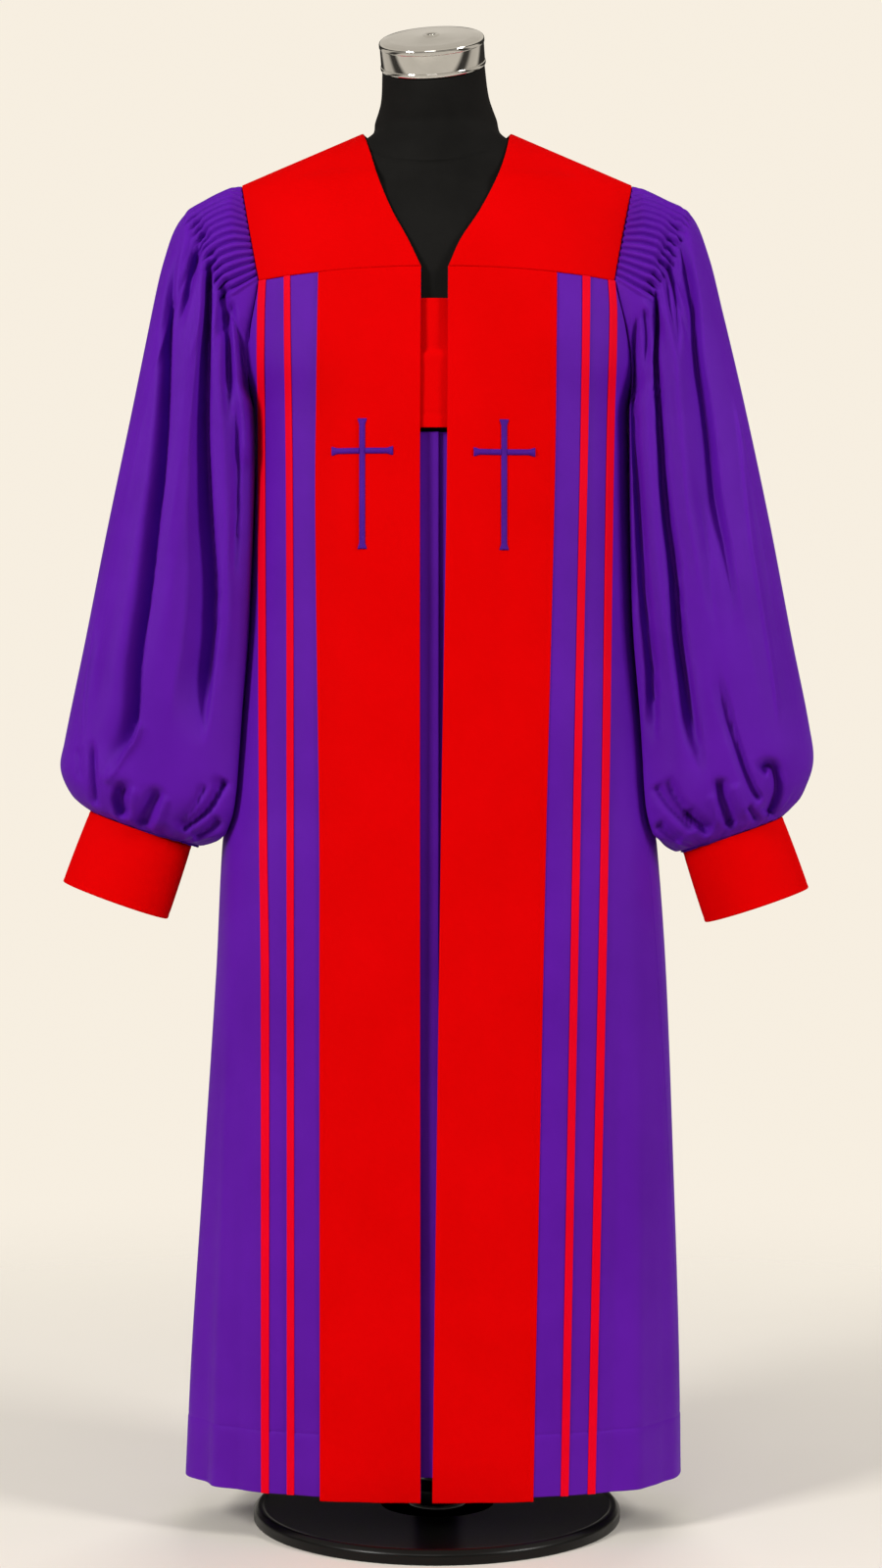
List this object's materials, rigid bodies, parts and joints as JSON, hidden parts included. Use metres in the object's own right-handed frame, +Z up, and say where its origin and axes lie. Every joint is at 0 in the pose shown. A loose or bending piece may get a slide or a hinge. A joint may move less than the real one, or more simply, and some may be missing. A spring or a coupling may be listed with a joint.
{
  "type": "pulpit robe on a limbless dress form",
  "caption": "Full-length clergy pulpit robe with gathered sleeves, cuffs, yoke and contrasting front bands with crosses, worn open-necked on a limbless dress form with a round base.",
  "frame": {"origin": "middle of the round base's underside", "axes": "+Z up along the form's pole; the robe's front faces -Y; +X is the side of the wearer's left arm"},
  "size_m": [0.766, 0.376, 1.5293],
  "materials": {
    "purple_cloth": "soft satin-faced polyester",
    "red_cloth": "soft satin-faced polyester",
    "ribbon": "satin ribbon",
    "embroidery": "satin-stitch embroidery",
    "form_black": "covered in fine black jersey",
    "cap_chrome": "polished",
    "base_black": "satin black"
  },
  "bodies": {
    "root": {"yoke_front_left": "red_cloth", "yoke_front_right": "red_cloth", "yoke_back": "red_cloth", "front_left": "purple_cloth", "front_right": "purple_cloth", "back": "purple_cloth", "band_left": "red_cloth", "band_right": "red_cloth", "ribbon_left_inner": "ribbon", "ribbon_left_outer": "ribbon", "ribbon_right_inner": "ribbon", "ribbon_right_outer": "ribbon", "sleeve_left": "purple_cloth", "sleeve_right": "purple_cloth", "cuff_left": "red_cloth", "cuff_right": "red_cloth", "cross_left": "embroidery", "cross_right": "embroidery", "chest_tab": "red_cloth", "placket_left": "purple_cloth", "placket_right": "purple_cloth", "form_torso": "form_black", "neck_cap": "cap_chrome", "base": "base_black", "pole": "base_black"}
  },
  "joints": []
}
